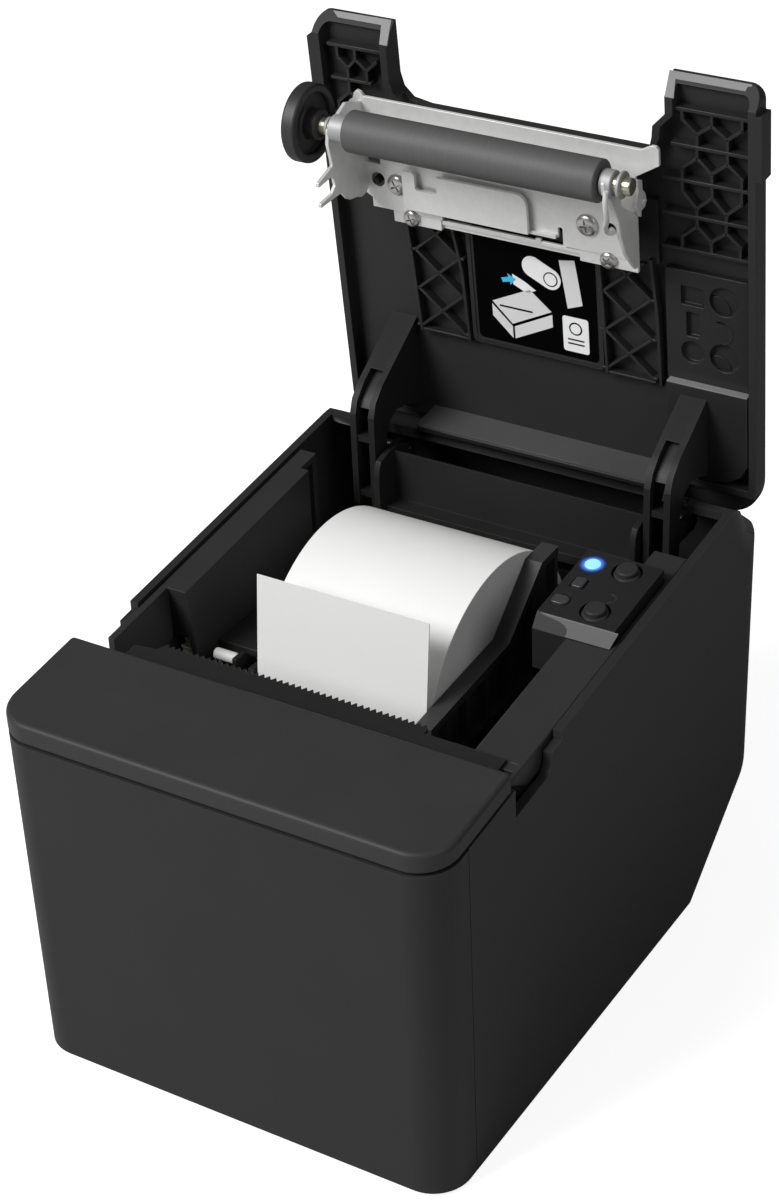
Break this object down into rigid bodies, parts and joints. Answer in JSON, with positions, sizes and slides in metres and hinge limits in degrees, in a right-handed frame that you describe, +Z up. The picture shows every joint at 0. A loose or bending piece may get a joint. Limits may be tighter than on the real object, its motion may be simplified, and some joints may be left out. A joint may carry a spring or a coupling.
{
  "type": "receipt printer",
  "caption": "Desktop thermal receipt printer with a hinged top lid standing open over a drop-in paper roll bay.",
  "frame": {"origin": "centre of the base, on the surface that the feet stand on", "axes": "+X to the right seen from the front, +Y towards the hinge at the back, +Z up"},
  "size_m": [0.1436, 0.199, 0.2565],
  "materials": {
    "charcoal_shell": "fine textured moulding",
    "dark_shell": "fine textured moulding",
    "black_plastic": "smooth",
    "light_plastic": "smooth",
    "steel": "rolled and zinc plated",
    "cast": "matt",
    "rubber": "matt",
    "paper": "thermal paper",
    "card": "pressed card",
    "board": "lacquered board",
    "lens": "clear"
  },
  "bodies": {
    "housing": {"base_tray": "dark_shell", "rubber_feet": "rubber", "casing": "charcoal_shell", "front_panel": "charcoal_shell", "connector_plate": "steel", "tear_bar": "dark_shell", "cutter_frame": "steel", "cutter_motor": "steel", "fixed_blade": "steel", "head_bracket": "steel", "thermal_head": "cast", "head_springs": "steel", "roll_tray": "dark_shell", "left_guide": "dark_shell", "paper_sheet": "paper", "left_housing": "dark_shell", "latch_pin": "light_plastic", "feed_motor": "steel", "right_deck": "dark_shell", "control_block": "dark_shell", "key_switches": "steel", "status_lens": "lens", "paper_lens": "black_plastic", "error_lens": "black_plastic", "panel_board": "board", "hinge_brackets": "dark_shell", "main_board": "board", "power_inlet": "black_plastic", "usb_port": "steel", "serial_port": "steel", "drawer_port": "black_plastic", "switch_frame": "black_plastic", "case_screws": "steel"},
    "cover": {"front_cover": "charcoal_shell"},
    "knife": {"cutter_knife": "steel"},
    "knife_drive": {"cutter_pinion": "light_plastic"},
    "divider": {"divider": "dark_shell"},
    "roll": {"paper_roll": "paper", "roll_core": "card"},
    "feed_gear": {"drive_gear": "light_plastic"},
    "feed_pinion": {"motor_pinion": "light_plastic"},
    "feed_key": {"feed_button": "dark_shell"},
    "power_key": {"power_button": "dark_shell"},
    "rocker": {"power_switch": "black_plastic"},
    "lid": {"lid_shell": "charcoal_shell", "lid_ribs": "dark_shell", "lid_arms": "dark_shell", "hinge_pins": "steel", "lid_label": "black_plastic", "key_bezel": "black_plastic", "platen_frame": "steel", "frame_bar": "steel", "bearing_bushes": "cast", "bearing_lever": "steel", "frame_screws": "steel"},
    "lid_feed": {"lid_feed_key": "dark_shell"},
    "lid_power": {"lid_power_key": "dark_shell"},
    "platen": {"platen_rubber": "rubber", "platen_shaft": "steel", "feed_wheel": "black_plastic"}
  },
  "joints": [
    {"name": "lid_hinge", "type": "hinge", "parent": "housing", "child": "lid", "pos_m": [0, 0.0763, 0.121], "axis": [1, 0, 0], "range_deg": [0, 91], "deforming": ["paper_sheet"]},
    {"name": "platen_spin", "type": "hinge", "parent": "lid", "child": "platen", "pos_m": [0, 0.05539, 0.23155], "axis": [1, 0, 0], "continuous": true},
    {"name": "roll_spin", "type": "hinge", "parent": "housing", "child": "roll", "pos_m": [0, 0.0236, 0.0806], "axis": [1, 0, 0], "continuous": true},
    {"name": "cover_slide", "type": "slide", "parent": "housing", "child": "cover", "axis": [0, -0.9929, -0.1191], "range_m": [0, 0.03]},
    {"name": "knife_slide", "type": "slide", "parent": "housing", "child": "knife", "axis": [0, 1, 0], "range_m": [0, 0.006]},
    {"name": "knife_pinion_spin", "type": "hinge", "parent": "housing", "child": "knife_drive", "pos_m": [0, -0.073, 0.1107], "axis": [1, 0, 0], "range_deg": [0, 90]},
    {"name": "divider_lift", "type": "slide", "parent": "housing", "child": "divider", "axis": [0, 0, -1], "range_m": [-0.02, 0]},
    {"name": "feed_gear_spin", "type": "hinge", "parent": "housing", "child": "feed_gear", "pos_m": [0, -0.0103, 0.088], "axis": [1, 0, 0], "continuous": true},
    {"name": "motor_pinion_spin", "type": "hinge", "parent": "housing", "child": "feed_pinion", "pos_m": [0, 0.00548, 0.08194], "axis": [1, 0, 0], "continuous": true},
    {"name": "feed_button_press", "type": "slide", "parent": "housing", "child": "feed_key", "axis": [0, 0.1191, -0.9929], "range_m": [0, 0.0008], "stiffness_N_per_m": 400},
    {"name": "power_button_press", "type": "slide", "parent": "housing", "child": "power_key", "axis": [0, 0.1191, -0.9929], "range_m": [0, 0.0008], "stiffness_N_per_m": 400},
    {"name": "lid_feed_press", "type": "slide", "parent": "lid", "child": "lid_feed", "axis": [0, -0.9948, -0.1018], "range_m": [0, 0.0006], "stiffness_N_per_m": 400},
    {"name": "lid_power_press", "type": "slide", "parent": "lid", "child": "lid_power", "axis": [0, -0.9948, -0.1018], "range_m": [0, 0.0006], "stiffness_N_per_m": 400},
    {"name": "power_rocker", "type": "hinge", "parent": "housing", "child": "rocker", "pos_m": [-0.0655, -0.062, 0.038], "axis": [0, 1, 0], "range_deg": [0, 14]}
  ],
  "couplings": [
    {"joint": "knife_pinion_spin", "follows": "knife_slide", "rad_per_m": 250},
    {"joint": "motor_pinion_spin", "follows": "feed_gear_spin", "ratio": -2.5}
  ]
}
